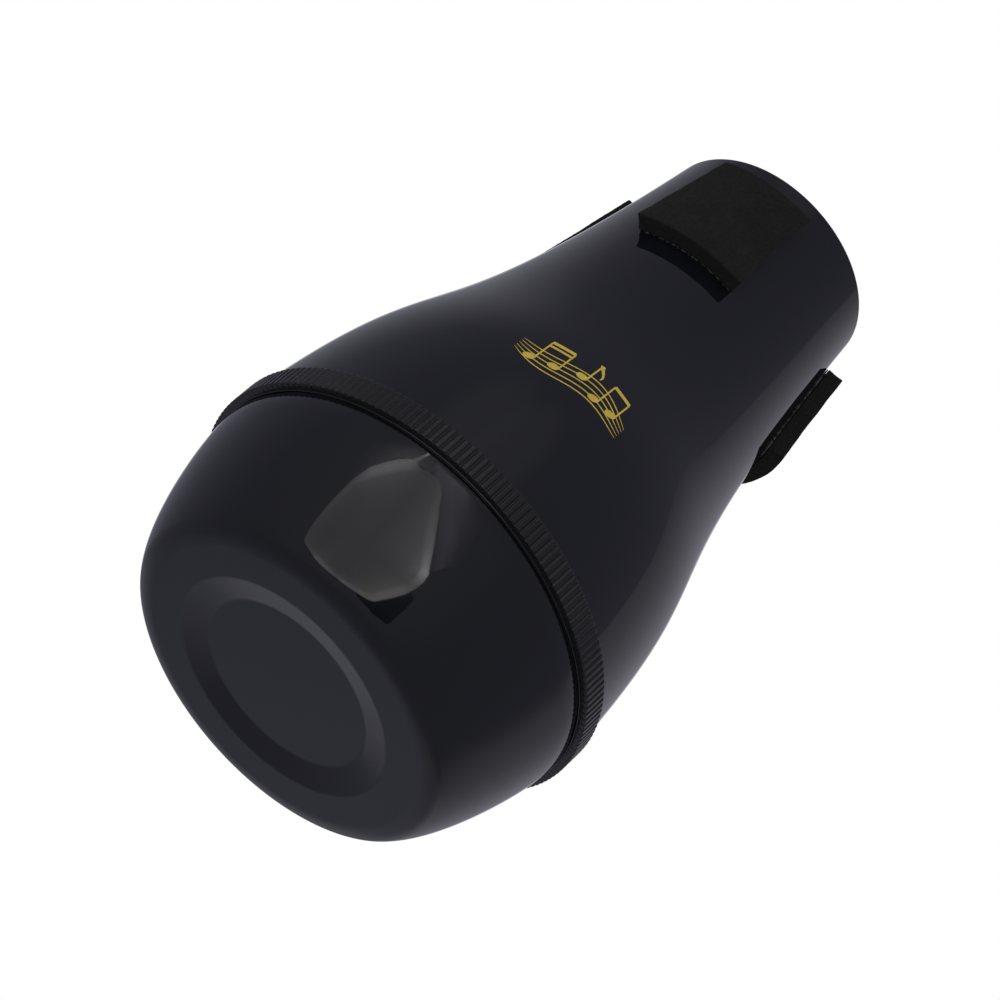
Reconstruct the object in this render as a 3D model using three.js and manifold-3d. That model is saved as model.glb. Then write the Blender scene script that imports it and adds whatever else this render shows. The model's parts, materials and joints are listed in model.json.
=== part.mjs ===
// Practice mute for a small brass bell: a hollow pear-shaped body with a fluted ring round its wide
// end, closed by a cap that screws in, with three foam pads stuck round the neck.
// Lengths are millimetres and +Z runs along the axis, from the cap's foot up to the open neck.
// Angles round the axis are measured from -Y towards +X.

import * as THREE from "three";
import { mergeVertices } from "three/addons/utils/BufferGeometryUtils.js";
import Module from "manifold-3d";

// Overall sizes
const muteLength = 148.2;
const capHeight = 30.1;

// Clearances between neighbouring pieces
const rimGap = 0.3;
const nestGap = 0.3;
const threadGap = 0.9;
const glueLine = 0.1;
const cutOverrun = 1;

// Fluted ring, the widest part: the body and the cap stand back from it
const ringOuterR = 45.5;
const bodySetBack = 1;
const capSetBack = 1.4;
const ringWidth = 5.8;
const ringWall = 1.6;
const fluteCount = 180;
const fluteDepth = 0.3;

// Body shell
const bodyWall = 2.2;
const bodyBaseSlope = THREE.MathUtils.degToRad(4.3);
const bodyBaseReach = 49.6;
const neckR = 23.9;
const neckSlope = THREE.MathUtils.degToRad(5.9);
const neckReach = 84.6;
const neckLipRound = 0.8;
const mouthWall = 1.8;
const mouthLandLength = 12;
const mouthChamfer = 0.3;

// Ledges moulded inside the body
const neckRecess = 10;
const neckBoreWall = 2;
const ledgeWidth = 1.9;
const ledgeHeight = 2;
const baffleBelowTop = 64.2;
const baffleLedgeWidth = 1.6;

// End cap: its side draws in from the rim to the foot, and the foot's flat surrounds the dish
const capWall = 2.2;
const capDrawIn = 13.3;
const footWidth = 6.7;
const dishSlopeWidth = 5.6;
const dishDepth = 1.3;
const footCornerRun = 4.8;
const footCornerRise = 1.7;
const footCornerTurn = THREE.MathUtils.degToRad(51.7);
const capFootReach = 7;
const capRimReach = 6.8;
const capRimSlope = THREE.MathUtils.degToRad(1.1);
const spigotWall = 2;
const spigotTipChamfer = 0.5;

// Screw thread between cap and body: its lead and the turns that free the cap
const threadLead = 6;
const threadTurns = 1.5;

// Seal in the cap's rim
const sealWidth = 1.7;
const sealHeight = 1.3;

// Insert in the neck
const insertThickness = 2;
const insertSleeveLength = 12;
const insertSleeveWall = 2.1;
const insertRibCount = 6;
const insertRibThickness = 1.4;
const insertRibReach = 8;

// Air tube
const tubeOuterR = 6;
const tubeBoreR = 4.9;
const tubeFlangeR = 8.4;
const tubeFlangeThickness = 0.8;
const tubeBelowBaffle = 14;
const ventRadius = 1.3;
const ventsPerRow = 6;
const ventRows = 2;
const ventRowPitch = 8;

// Baffle and the grommet in its middle
const baffleThickness = 1.6;
const baffleHoleCount = 6;
const baffleHoleR = 4.5;
const grommetWall = 1.9;
const grommetLip = 1.8;
const grommetLipHeight = 1.2;

// Sound-damping foam in the cap
const dampingInset = 0.8;
const dampingHeight = 12;
const dampingEdgeRound = 1.5;

// Foam pads on the neck, with their adhesive layer
const padRise = 4;
const padCapWidth = 22.9;
const padNeckWidth = 18.8;
const padSideLean = 0.7;
const padBelowTop = 7.7;
const padLength = 26.3;
const tapeThickness = 0.25;
const tapeInset = 0.3;
const pads = [
  { side: "front", centre: THREE.MathUtils.degToRad(-21.4) },
  { side: "right", centre: THREE.MathUtils.degToRad(104) },
  { side: "left", centre: THREE.MathUtils.degToRad(-131) },
];

// Facets
const turnSteps = 56;
const smallTurnSteps = 24;
const holeSteps = 12;
const ventSteps = 8;
const bodySteps = 12;
const capSteps = 7;
const footCornerSteps = 4;
const cornerSteps = 3;
const padAcrossSteps = 8;
const padAlongSteps = 4;

// One flute's outline: how far round the pitch each corner lies, and its share of the flute's depth
const fluteShares = [[0, 0], [0.38, 0], [0.5, 1], [0.88, 1]];

// Sizes that follow from the ones above
const bodyBaseR = ringOuterR - bodySetBack;
const capRimR = ringOuterR - capSetBack;
const footOuterR = capRimR - capDrawIn;
const dishOuterR = footOuterR - footWidth;
const dishFloorR = dishOuterR - dishSlopeWidth;
const dampingR = footOuterR - dampingInset;
const ringBase = capHeight + rimGap;
const ringTop = ringBase + ringWidth;
const ringInnerR = ringOuterR - ringWall;
const seatR = ringInnerR - nestGap;
const mouthR = seatR - mouthWall;
const spigotR = mouthR - threadGap;
const spigotInnerR = spigotR - spigotWall;
const spigotTop = capHeight + threadLead * threadTurns - rimGap;
const neckBoreR = neckR - neckBoreWall;
const insertTop = muteLength - neckRecess;
const insertBase = insertTop - insertThickness;
const insertR = neckBoreR - nestGap;
const insertBoreR = tubeOuterR + nestGap;
const insertSleeveR = insertBoreR + insertSleeveWall;
const baffleLevel = muteLength - baffleBelowTop;
const padEnd = muteLength - padBelowTop;
const padStart = padEnd - padLength;
const capFloor = dishDepth + capWall;
const sealInnerR = spigotR + nestGap;
const sealOuterR = sealInnerR + sealWidth;
const sealBase = ringBase - sealHeight;

const wasm = await Module();
wasm.setup();

// Finishes
function plastic(name, color, roughness) {
  return new THREE.MeshStandardMaterial({ name, color, roughness, metalness: 0 });
}
const glossBlack = plastic("gloss_black", 0x141518, 0.12);
const ringBlack = plastic("ring_black", 0x121412, 0.3);
const innerBlack = plastic("inner_black", 0x1c1c1e, 0.5);
const rubberBlack = plastic("rubber_black", 0x161616, 0.8);
const padFoam = plastic("pad_foam", 0x1f1e1b, 0.95);
const softFoam = plastic("soft_foam", 0x2b2b2d, 1);
const clearTape = plastic("clear_tape", 0x8d8c86, 0.4);

// A profile of [radius, height] points turned about the Z axis
function turned(profile, steps) {
  const points = profile.map(([r, z]) => new THREE.Vector2(r, z));
  return new THREE.LatheGeometry(points, steps).rotateX(Math.PI / 2);
}

// A flat outline in the XY plane, raised from one height to another
function raised(shape, base, height, steps) {
  const options = { depth: height, bevelEnabled: false, curveSegments: steps / 2 };
  return new THREE.ExtrudeGeometry(shape, options).translate(0, 0, base);
}

function circlePath(path, x, y, r) {
  path.absarc(x, y, r, 0, 2 * Math.PI, false);
  return path;
}

// Solids for the joins and cuts
function asSolid(geometry) {
  const bare = geometry.index ? geometry.clone() : mergeVertices(geometry);
  bare.deleteAttribute("normal");
  bare.deleteAttribute("uv");
  const merged = mergeVertices(bare);
  const vertProperties = new Float32Array(merged.attributes.position.array);
  const mesh = new wasm.Mesh({ numProp: 3, vertProperties, triVerts: new Uint32Array(merged.index.array) });
  mesh.merge();
  return new wasm.Manifold(mesh);
}

function asGeometry(solid) {
  const mesh = solid.getMesh();
  const geometry = new THREE.BufferGeometry();
  geometry.setAttribute("position", new THREE.BufferAttribute(new Float32Array(mesh.vertProperties), 3));
  geometry.setIndex(new THREE.BufferAttribute(new Uint32Array(mesh.triVerts), 1));
  geometry.computeVertexNormals();
  return geometry;
}

// Outer curve of the body, from the ring up to the neck, as points of radius and height
const bodyCurve = new THREE.CubicBezierCurve(
  new THREE.Vector2(bodyBaseR, ringTop),
  new THREE.Vector2(
    bodyBaseR - bodyBaseReach * Math.sin(bodyBaseSlope),
    ringTop + bodyBaseReach * Math.cos(bodyBaseSlope),
  ),
  new THREE.Vector2(
    neckR + neckReach * Math.sin(neckSlope),
    muteLength - neckReach * Math.cos(neckSlope),
  ),
  new THREE.Vector2(neckR, muteLength),
);

// The body's outer radius and outward direction at a height
function bodyAt(height) {
  let low = 0;
  let high = 1;
  while (high - low > Number.EPSILON * 4) {
    const middle = (low + high) / 2;
    if (bodyCurve.getPoint(middle).y < height) low = middle;
    else high = middle;
  }
  const radius = bodyCurve.getPoint(low).x;
  const tangent = bodyCurve.getTangent(low);
  return { radius, outR: tangent.y, outZ: -tangent.x };
}

// The body's wall seen from inside, at a height
function bodyInnerR(height) {
  const { radius, outR } = bodyAt(height);
  return radius - bodyWall / outR;
}

// Points along a straight or curved stretch, from one height to the next
function innerWall(from, to, steps) {
  const points = [];
  for (let i = 0; i <= steps; i += 1) {
    const z = from + ((to - from) * i) / steps;
    points.push([bodyInnerR(z), z]);
  }
  return points;
}

function bodyShell() {
  const lipCentreR = neckR - neckLipRound;
  const lipTop = muteLength - neckLipRound;
  const outer = bodyCurve.getPoints(bodySteps).map((p) => [p.x, p.y]).filter((p) => p[1] < lipTop);
  const lip = [];
  for (let i = 0; i <= cornerSteps; i += 1) {
    const turn = (Math.PI / 2) * (i / cornerSteps);
    lip.push([lipCentreR + neckLipRound * Math.cos(turn), lipTop + neckLipRound * Math.sin(turn)]);
  }
  const ledgeR = neckBoreR - ledgeWidth;
  const ledgeFoot = insertBase - ledgeHeight;
  const ledgeRoot = ledgeFoot - ledgeWidth;
  const baffleTop = baffleLevel + baffleThickness;
  const baffleLedgeR = bodyInnerR(baffleTop) - baffleLedgeWidth;
  const baffleRoot = baffleTop + ledgeHeight + baffleLedgeWidth;
  const landTop = ringBase + mouthLandLength;
  const landRoot = landTop + (bodyInnerR(landTop) - mouthR);
  const upperSteps = Math.round(bodySteps / 2);
  const lowerSteps = Math.round(bodySteps / 3);
  const profile = [
    [mouthR + mouthChamfer, ringBase],
    [seatR, ringBase],
    [seatR, ringTop],
    ...outer,
    ...lip,
    [neckBoreR, muteLength],
    [neckBoreR, insertBase],
    [ledgeR, insertBase],
    [ledgeR, ledgeFoot],
    ...innerWall(ledgeRoot, baffleRoot, upperSteps),
    [baffleLedgeR, baffleTop + ledgeHeight],
    [baffleLedgeR, baffleTop],
    ...innerWall(baffleTop, landRoot, lowerSteps),
    [mouthR, landTop],
    [mouthR, ringBase + mouthChamfer],
    [mouthR + mouthChamfer, ringBase],
  ];
  return turned(profile, turnSteps);
}

function flutedRing() {
  const outline = new THREE.Shape();
  const pitch = (2 * Math.PI) / fluteCount;
  for (let flute = 0; flute < fluteCount; flute += 1) {
    for (const [along, depth] of fluteShares) {
      const turn = (flute + along) * pitch;
      const r = ringOuterR - fluteDepth * depth;
      if (flute === 0 && along === 0) outline.moveTo(r * Math.cos(turn), r * Math.sin(turn));
      else outline.lineTo(r * Math.cos(turn), r * Math.sin(turn));
    }
  }
  outline.closePath();
  outline.holes.push(circlePath(new THREE.Path(), 0, 0, ringInnerR));
  return raised(outline, ringBase, ringWidth, turnSteps);
}

// The cap's outer curve: the foot's flat rolls gently into the side, which rises to the rim
function capOuter() {
  const cornerR = footOuterR + footCornerRun;
  const corner = new THREE.QuadraticBezierCurve(
    new THREE.Vector2(footOuterR, 0),
    new THREE.Vector2(cornerR - footCornerRise / Math.tan(footCornerTurn), 0),
    new THREE.Vector2(cornerR, footCornerRise),
  );
  const side = new THREE.CubicBezierCurve(
    new THREE.Vector2(cornerR, footCornerRise),
    new THREE.Vector2(
      cornerR + capFootReach * Math.cos(footCornerTurn),
      footCornerRise + capFootReach * Math.sin(footCornerTurn),
    ),
    new THREE.Vector2(
      capRimR - capRimReach * Math.sin(capRimSlope),
      capHeight - capRimReach * Math.cos(capRimSlope),
    ),
    new THREE.Vector2(capRimR, capHeight),
  );
  const points = [...corner.getPoints(footCornerSteps), ...side.getPoints(capSteps).slice(1)];
  return points.map((p) => [p.x, p.y]);
}

// The cap's inner curve: the outer one moved in by the wall, between the floor and the spigot's bore
function capInner() {
  const outer = capOuter();
  const moved = outer.slice(1, -1).map(([r, z], i) => {
    const [beforeR, beforeZ] = outer[i];
    const [afterR, afterZ] = outer[i + 2];
    const length = Math.hypot(afterR - beforeR, afterZ - beforeZ);
    return [r - (capWall * (afterZ - beforeZ)) / length, z + (capWall * (afterR - beforeR)) / length];
  });
  const inside = moved.filter(([r, z]) => z > capFloor && r < spigotInnerR);
  const first = moved.indexOf(inside[0]);
  const last = moved.indexOf(inside.at(-1));
  const crossing = (a, b, share) => [a[0] + (b[0] - a[0]) * share, a[1] + (b[1] - a[1]) * share];
  const below = moved[first - 1];
  const above = moved[last + 1];
  const start = crossing(below, inside[0], (capFloor - below[1]) / (inside[0][1] - below[1]));
  const end = crossing(inside.at(-1), above, (spigotInnerR - inside.at(-1)[0]) / (above[0] - inside.at(-1)[0]));
  return [start, ...inside, end];
}

function endCap() {
  const grooveR = sealOuterR + nestGap;
  const profile = [
    [0, dishDepth],
    [dishFloorR, dishDepth],
    [dishOuterR, 0],
    ...capOuter(),
    [grooveR, capHeight],
    [grooveR, sealBase],
    [spigotR, sealBase],
    [spigotR, spigotTop - spigotTipChamfer],
    [spigotR - spigotTipChamfer, spigotTop],
    [spigotInnerR, spigotTop],
    ...capInner().reverse(),
    [0, capFloor],
  ];
  return turned(profile, turnSteps);
}

function capSeal() {
  const profile = [
    [sealInnerR, sealBase],
    [sealOuterR, sealBase],
    [sealOuterR, ringBase],
    [sealInnerR, ringBase],
    [sealInnerR, sealBase],
  ];
  return turned(profile, turnSteps);
}

function neckInsert() {
  const sleeveFoot = insertBase - insertSleeveLength;
  const cup = turned([
    [insertBoreR, sleeveFoot],
    [insertSleeveR, sleeveFoot],
    [insertSleeveR, insertBase],
    [insertR, insertBase],
    [insertR, insertTop],
    [insertBoreR, insertTop],
    [insertBoreR, sleeveFoot],
  ], turnSteps);
  let solid = asSolid(cup);
  const wallMiddle = (insertBoreR + insertSleeveR) / 2;
  const rib = new THREE.Shape();
  rib.moveTo(wallMiddle, insertBase - insertRibReach);
  rib.lineTo(insertSleeveR, insertBase - insertRibReach);
  rib.lineTo(insertSleeveR + insertRibReach, insertBase);
  rib.lineTo(insertSleeveR + insertRibReach, insertBase + insertThickness / 2);
  rib.lineTo(wallMiddle, insertBase + insertThickness / 2);
  rib.closePath();
  for (let i = 0; i < insertRibCount; i += 1) {
    const web = raised(rib, -insertRibThickness / 2, insertRibThickness, 1);
    web.rotateX(Math.PI / 2).rotateZ((2 * Math.PI * i) / insertRibCount);
    solid = solid.add(asSolid(web));
  }
  return asGeometry(solid);
}

function airTube() {
  const foot = baffleLevel - tubeBelowBaffle;
  const flangeTop = insertTop + tubeFlangeThickness;
  const wall = turned([
    [tubeBoreR, foot],
    [tubeOuterR, foot],
    [tubeOuterR, insertTop],
    [tubeFlangeR, insertTop],
    [tubeFlangeR, flangeTop],
    [tubeBoreR, flangeTop],
    [tubeBoreR, foot],
  ], smallTurnSteps);
  let solid = asSolid(wall);
  const firstRow = baffleLevel + baffleThickness + grommetLipHeight + ventRowPitch;
  for (let row = 0; row < ventRows; row += 1) {
    for (let i = 0; i < ventsPerRow; i += 1) {
      const drill = new THREE.CylinderGeometry(ventRadius, ventRadius, tubeOuterR + cutOverrun, ventSteps);
      drill.translate(0, (tubeOuterR + cutOverrun) / 2, 0);
      drill.rotateZ((2 * Math.PI * (i + row / ventRows)) / ventsPerRow);
      drill.translate(0, 0, firstRow + row * ventRowPitch);
      solid = solid.subtract(asSolid(drill));
    }
  }
  return asGeometry(solid);
}

const grommetBoreR = tubeOuterR + nestGap;
const grommetWaistR = grommetBoreR + grommetWall;
const grommetLipR = grommetWaistR + grommetLip;
const baffleHubR = grommetWaistR + nestGap;

function baffleDisc() {
  const outerR = bodyInnerR(baffleLevel + baffleThickness) - nestGap;
  const holeCentreR = (outerR + grommetLipR) / 2;
  const disc = circlePath(new THREE.Shape(), 0, 0, outerR);
  disc.holes.push(circlePath(new THREE.Path(), 0, 0, baffleHubR));
  const geometry = raised(disc, baffleLevel, baffleThickness, turnSteps);
  let solid = asSolid(geometry);
  for (let i = 0; i < baffleHoleCount; i += 1) {
    const turn = (2 * Math.PI * i) / baffleHoleCount;
    const length = baffleThickness + 2 * cutOverrun;
    const drill = new THREE.CylinderGeometry(baffleHoleR, baffleHoleR, length, holeSteps).rotateX(Math.PI / 2);
    const centre = baffleLevel + baffleThickness / 2;
    drill.translate(holeCentreR * Math.cos(turn), holeCentreR * Math.sin(turn), centre);
    solid = solid.subtract(asSolid(drill));
  }
  return asGeometry(solid);
}

function tubeGrommet() {
  const baffleTop = baffleLevel + baffleThickness;
  const profile = [
    [grommetBoreR, baffleLevel - grommetLipHeight],
    [grommetLipR, baffleLevel - grommetLipHeight],
    [grommetLipR, baffleLevel],
    [grommetWaistR, baffleLevel],
    [grommetWaistR, baffleTop],
    [grommetLipR, baffleTop],
    [grommetLipR, baffleTop + grommetLipHeight],
    [grommetBoreR, baffleTop + grommetLipHeight],
    [grommetBoreR, baffleLevel - grommetLipHeight],
  ];
  return turned(profile, smallTurnSteps);
}

function dampingDisc() {
  const top = capFloor + dampingHeight;
  const profile = [[0, capFloor], [dampingR, capFloor]];
  for (let i = 0; i <= cornerSteps; i += 1) {
    const turn = (Math.PI / 2) * (i / cornerSteps);
    const r = dampingR - dampingEdgeRound * (1 - Math.cos(turn));
    profile.push([r, top - dampingEdgeRound * (1 - Math.sin(turn))]);
  }
  profile.push([0, top]);
  return turned(profile, turnSteps / 2);
}

// A sheet cut to the pad's outline and wrapped on the body: it narrows towards the neck
function wrapped(centre, standOff, thickness, inset) {
  const sheet = new THREE.BoxGeometry(1, 1, 1, padAcrossSteps, padAlongSteps, 1);
  const corners = sheet.attributes.position;
  const start = padStart + inset;
  const length = padEnd - padStart - 2 * inset;
  for (let i = 0; i < corners.count; i += 1) {
    const along = corners.getY(i) + 0.5;
    const across = corners.getX(i);
    const height = start + length * along;
    const width = padCapWidth + (padNeckWidth - padCapWidth) * along - 2 * inset;
    const { radius, outR, outZ } = bodyAt(height);
    const turn = centre + (across * width + (along - 0.5) * padSideLean) / radius;
    const lift = standOff + thickness * (corners.getZ(i) + 0.5);
    const r = radius + lift * outR;
    corners.setXYZ(i, r * Math.sin(turn), -r * Math.cos(turn), height + lift * outZ);
  }
  sheet.deleteAttribute("normal");
  sheet.deleteAttribute("uv");
  const merged = mergeVertices(sheet);
  merged.computeVertexNormals();
  return merged;
}

const padStandOff = 2 * glueLine + tapeThickness;

const mute = new THREE.Group();
function add(name, geometry, material) {
  const mesh = new THREE.Mesh(geometry, material);
  mesh.name = name;
  mute.add(mesh);
}

add("neck_shell", bodyShell(), glossBlack);
add("fluted_ring", flutedRing(), ringBlack);
add("end_cap", endCap(), glossBlack);
add("cap_seal", capSeal(), rubberBlack);
add("neck_insert", neckInsert(), innerBlack);
add("air_tube", airTube(), innerBlack);
add("tube_grommet", tubeGrommet(), rubberBlack);
add("baffle_disc", baffleDisc(), innerBlack);
add("damping_disc", dampingDisc(), softFoam);
for (const { side, centre } of pads) {
  add(`pad_tape_${side}`, wrapped(centre, glueLine, tapeThickness, tapeInset), clearTape);
  add(`foam_pad_${side}`, wrapped(centre, padStandOff, padRise - padStandOff, 0), padFoam);
}

export default mute;
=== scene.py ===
"""The looks of a practice mute for a small brass bell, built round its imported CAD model.

Blender's lengths are metres. Sizes below are millimetres, and MM turns them into metres.
Angles round the axis are measured from -Y towards +X, as in the part's own source.
"""

import json
import math

import bpy
from mathutils import Matrix, Vector, noise


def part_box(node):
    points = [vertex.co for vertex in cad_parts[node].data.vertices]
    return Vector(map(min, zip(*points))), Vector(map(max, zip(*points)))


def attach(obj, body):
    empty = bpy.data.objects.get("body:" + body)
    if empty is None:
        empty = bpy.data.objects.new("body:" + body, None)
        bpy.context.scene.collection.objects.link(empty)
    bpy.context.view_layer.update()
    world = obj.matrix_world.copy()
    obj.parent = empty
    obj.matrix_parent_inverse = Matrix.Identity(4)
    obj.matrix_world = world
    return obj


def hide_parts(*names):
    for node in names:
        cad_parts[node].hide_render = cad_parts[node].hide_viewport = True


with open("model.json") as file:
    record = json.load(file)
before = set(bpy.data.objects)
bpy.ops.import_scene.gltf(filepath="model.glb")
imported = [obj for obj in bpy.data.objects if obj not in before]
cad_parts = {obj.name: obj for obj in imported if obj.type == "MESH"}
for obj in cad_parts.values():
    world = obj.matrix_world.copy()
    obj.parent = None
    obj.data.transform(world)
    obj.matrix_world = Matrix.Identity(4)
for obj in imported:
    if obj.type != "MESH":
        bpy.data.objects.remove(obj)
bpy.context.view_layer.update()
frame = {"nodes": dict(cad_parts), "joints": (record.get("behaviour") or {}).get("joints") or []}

MM = 0.001


def lowest(node):
    """A CAD node's lowest corner, in millimetres."""
    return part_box(node)[0] / MM


def highest(node):
    """A CAD node's highest corner, in millimetres."""
    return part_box(node)[1] / MM


# Sizes read off the frame
MUTE_LENGTH = highest("neck_shell").z
RING_RADIUS = highest("fluted_ring").x
RING_BASE = lowest("fluted_ring").z
RING_TOP = highest("fluted_ring").z
SEAL_BASE = lowest("cap_seal").z
SEAL_OUTER_R = highest("cap_seal").x
SPIGOT_TOP = highest("end_cap").z
BAFFLE_TOP = highest("baffle_disc").z
DAMPING_BASE = lowest("damping_disc").z
DAMPING_TOP = highest("damping_disc").z
DAMPING_R = highest("damping_disc").x

# Sizes that the frame's boxes don't give, as in the part's source
RIM_GAP = 0.3
NEST_GAP = 0.3
THREAD_GAP = 0.9
GLUE_LINE = 0.1
RING_WALL = 1.6
FLUTE_COUNT = 180
FLUTE_DEPTH = 0.3
BODY_SET_BACK = 1.0
CAP_SET_BACK = 1.4
WALL = 2.2
BODY_BASE_SLOPE = math.radians(4.3)
BODY_BASE_REACH = 49.6
NECK_R = 23.9
NECK_SLOPE = math.radians(5.9)
NECK_REACH = 84.6
NECK_LIP_ROUND = 0.8
MOUTH_WALL = 1.8
MOUTH_LAND_LENGTH = 12.0
MOUTH_CHAMFER = 0.3
NECK_BORE_WALL = 2.0
LEDGE_WIDTH = 1.9
LEDGE_HEIGHT = 2.0
BAFFLE_LEDGE_WIDTH = 1.6
INSERT_THICKNESS = 2.0
NECK_RECESS = 10.0
CAP_DRAW_IN = 13.3
FOOT_WIDTH = 6.7
DISH_SLOPE_WIDTH = 5.6
DISH_DEPTH = 1.3
FOOT_CORNER_RUN = 4.8
FOOT_CORNER_RISE = 1.7
FOOT_CORNER_TURN = math.radians(51.7)
CAP_FOOT_REACH = 7.0
CAP_RIM_REACH = 6.8
CAP_RIM_SLOPE = math.radians(1.1)
SPIGOT_WALL = 2.0
SPIGOT_TIP_CHAMFER = 0.5
PAD_RISE = 4.0
PAD_CAP_WIDTH = 22.9
PAD_NECK_WIDTH = 18.8
PAD_SIDE_LEAN = 0.7
PAD_BELOW_TOP = 7.7
PAD_LENGTH = 26.3
TAPE_THICKNESS = 0.25
PAD_CENTRES = {
    "front": math.radians(-21.4),
    "right": math.radians(104),
    "left": math.radians(-131),
}

# Sizes that follow
BODY_BASE_R = RING_RADIUS - BODY_SET_BACK
CAP_RIM_R = RING_RADIUS - CAP_SET_BACK
CAP_HEIGHT = RING_BASE - RIM_GAP
FOOT_R = CAP_RIM_R - CAP_DRAW_IN
DISH_R = FOOT_R - FOOT_WIDTH
DISH_FLOOR_R = DISH_R - DISH_SLOPE_WIDTH
CAP_FLOOR = DISH_DEPTH + WALL
SEAT_R = RING_RADIUS - RING_WALL - NEST_GAP
MOUTH_R = SEAT_R - MOUTH_WALL
SPIGOT_R = MOUTH_R - THREAD_GAP
SPIGOT_INNER_R = SPIGOT_R - SPIGOT_WALL
NECK_BORE_R = NECK_R - NECK_BORE_WALL
INSERT_BASE = MUTE_LENGTH - NECK_RECESS - INSERT_THICKNESS
PAD_END = MUTE_LENGTH - PAD_BELOW_TOP
PAD_START = PAD_END - PAD_LENGTH

# Small edge forms that the CAD model leaves out
EDGE_ROUND = 0.2
RIM_ROUND = 0.3
RING_LIP_CUT = 1.4
RING_LIP_HEIGHT = 0.38
CAP_RIM_ROLL = 0.22
CAP_RIM_ROLL_HEIGHT = 4.6
DISH_EDGE_ROUND = 3.2
RING_TOP_ROUND = 0.34
RING_NOSE = 0.06

# Steps of the curved forms. A corner's arc takes at most a share of the sides beside it
ARC_STEPS = 5
ARC_SIDE_SHARE = 0.48
TURN_STEPS = 288
BODY_STEPS = 72
UPPER_WALL_STEPS = 30
LOWER_WALL_STEPS = 24
FOOT_CORNER_STEPS = 20
CAP_SIDE_STEPS = 40


# Outlines in the plane of radius and height

def bezier(a, b, c, d, share):
    """A point on a cubic curve."""
    rest = 1 - share
    return tuple(
        rest**3 * p + 3 * rest**2 * share * q + 3 * rest * share**2 * s + share**3 * t
        for p, q, s, t in zip(a, b, c, d)
    )


BODY_CURVE = (
    (BODY_BASE_R, RING_TOP),
    (
        BODY_BASE_R - BODY_BASE_REACH * math.sin(BODY_BASE_SLOPE),
        RING_TOP + BODY_BASE_REACH * math.cos(BODY_BASE_SLOPE),
    ),
    (
        NECK_R + NECK_REACH * math.sin(NECK_SLOPE),
        MUTE_LENGTH - NECK_REACH * math.cos(NECK_SLOPE),
    ),
    (NECK_R, MUTE_LENGTH),
)


def body_at(height):
    """The body's outer radius at a height, and the outward direction there as (radial, axial)."""
    low, high = 0.0, 1.0
    halvings = 50
    for _ in range(halvings):
        middle = (low + high) / 2
        if bezier(*BODY_CURVE, middle)[1] < height:
            low = middle
        else:
            high = middle
    step = 1e-4
    before = bezier(*BODY_CURVE, low - step)
    after = bezier(*BODY_CURVE, low + step)
    rise, run = after[1] - before[1], after[0] - before[0]
    length = math.hypot(rise, run)
    return bezier(*BODY_CURVE, low)[0], rise / length, -run / length


def over_body(centre, across, height, lift):
    """A point at a lift over the body's surface, and so far across from a line up the body."""
    radius, out_r, out_z = body_at(height)
    turn = centre + across / radius
    r = radius + lift * out_r
    return (r * math.sin(turn), -r * math.cos(turn), height + lift * out_z)


def body_inner_r(height):
    """The radius of the body's inner wall at a height."""
    radius, out_r, _ = body_at(height)
    return radius - WALL / out_r


def inner_wall(start, end, steps):
    """Points on the inner wall, from one height to another."""
    heights = [start + (end - start) * i / steps for i in range(steps + 1)]
    return [(body_inner_r(z), z) for z in heights]


def rounded(corners, closed):
    """An outline whose corners, given as (radius, height, round), are turned into small arcs."""
    points = []
    count = len(corners)
    for i, corner in enumerate(corners):
        at_end = not closed and i in (0, count - 1)
        if len(corner) == 2 or at_end:
            points.append(Vector(corner[:2]))
            continue
        here = Vector(corner[:2])
        before = Vector(corners[i - 1][:2]) - here
        after = Vector(corners[(i + 1) % count][:2]) - here
        turn = math.pi - before.angle(after)
        most = ARC_SIDE_SHARE * min(before.length, after.length)
        reach = min(corner[2] * math.tan(turn / 2), most)
        radius = reach / math.tan(turn / 2)
        middle = (before.normalized() + after.normalized()).normalized()
        centre = here + middle * (radius / math.cos(turn / 2))
        first = here + before.normalized() * reach - centre
        last = here + after.normalized() * reach - centre
        for k in range(ARC_STEPS + 1):
            share = k / ARC_STEPS
            arm = first * math.sin((1 - share) * turn) + last * math.sin(share * turn)
            points.append(centre + arm / math.sin(turn))
    return points


def outline_normals(points, closed):
    """Outward directions along an outline: long straights outweigh the short arcs beside them."""
    count = len(points)
    normals = []
    for i in range(count):
        total = Vector((0, 0))
        for a, b in ((i - 1, i), (i, i + 1)):
            if not closed and (a < 0 or b >= count):
                continue
            side = points[b % count] - points[a % count]
            total += Vector((side.y, -side.x)) * side.length
        normals.append(total.normalized())
    return normals


# Meshes

def new_piece(name, points, faces, normals=None, sharp=None):
    """A mesh from points in millimetres. Edges over the sharp angle, in degrees, stay hard."""
    mesh = bpy.data.meshes.new(name)
    mesh.from_pydata([Vector(p) * MM for p in points], [], faces)
    mesh.validate()
    mesh.shade_smooth()
    if normals:
        mesh.normals_split_custom_set_from_vertices(normals)
    if sharp:
        mesh.set_sharp_from_angle(angle=math.radians(sharp))
    piece = bpy.data.objects.new(name, mesh)
    bpy.context.scene.collection.objects.link(piece)
    return piece


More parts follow.
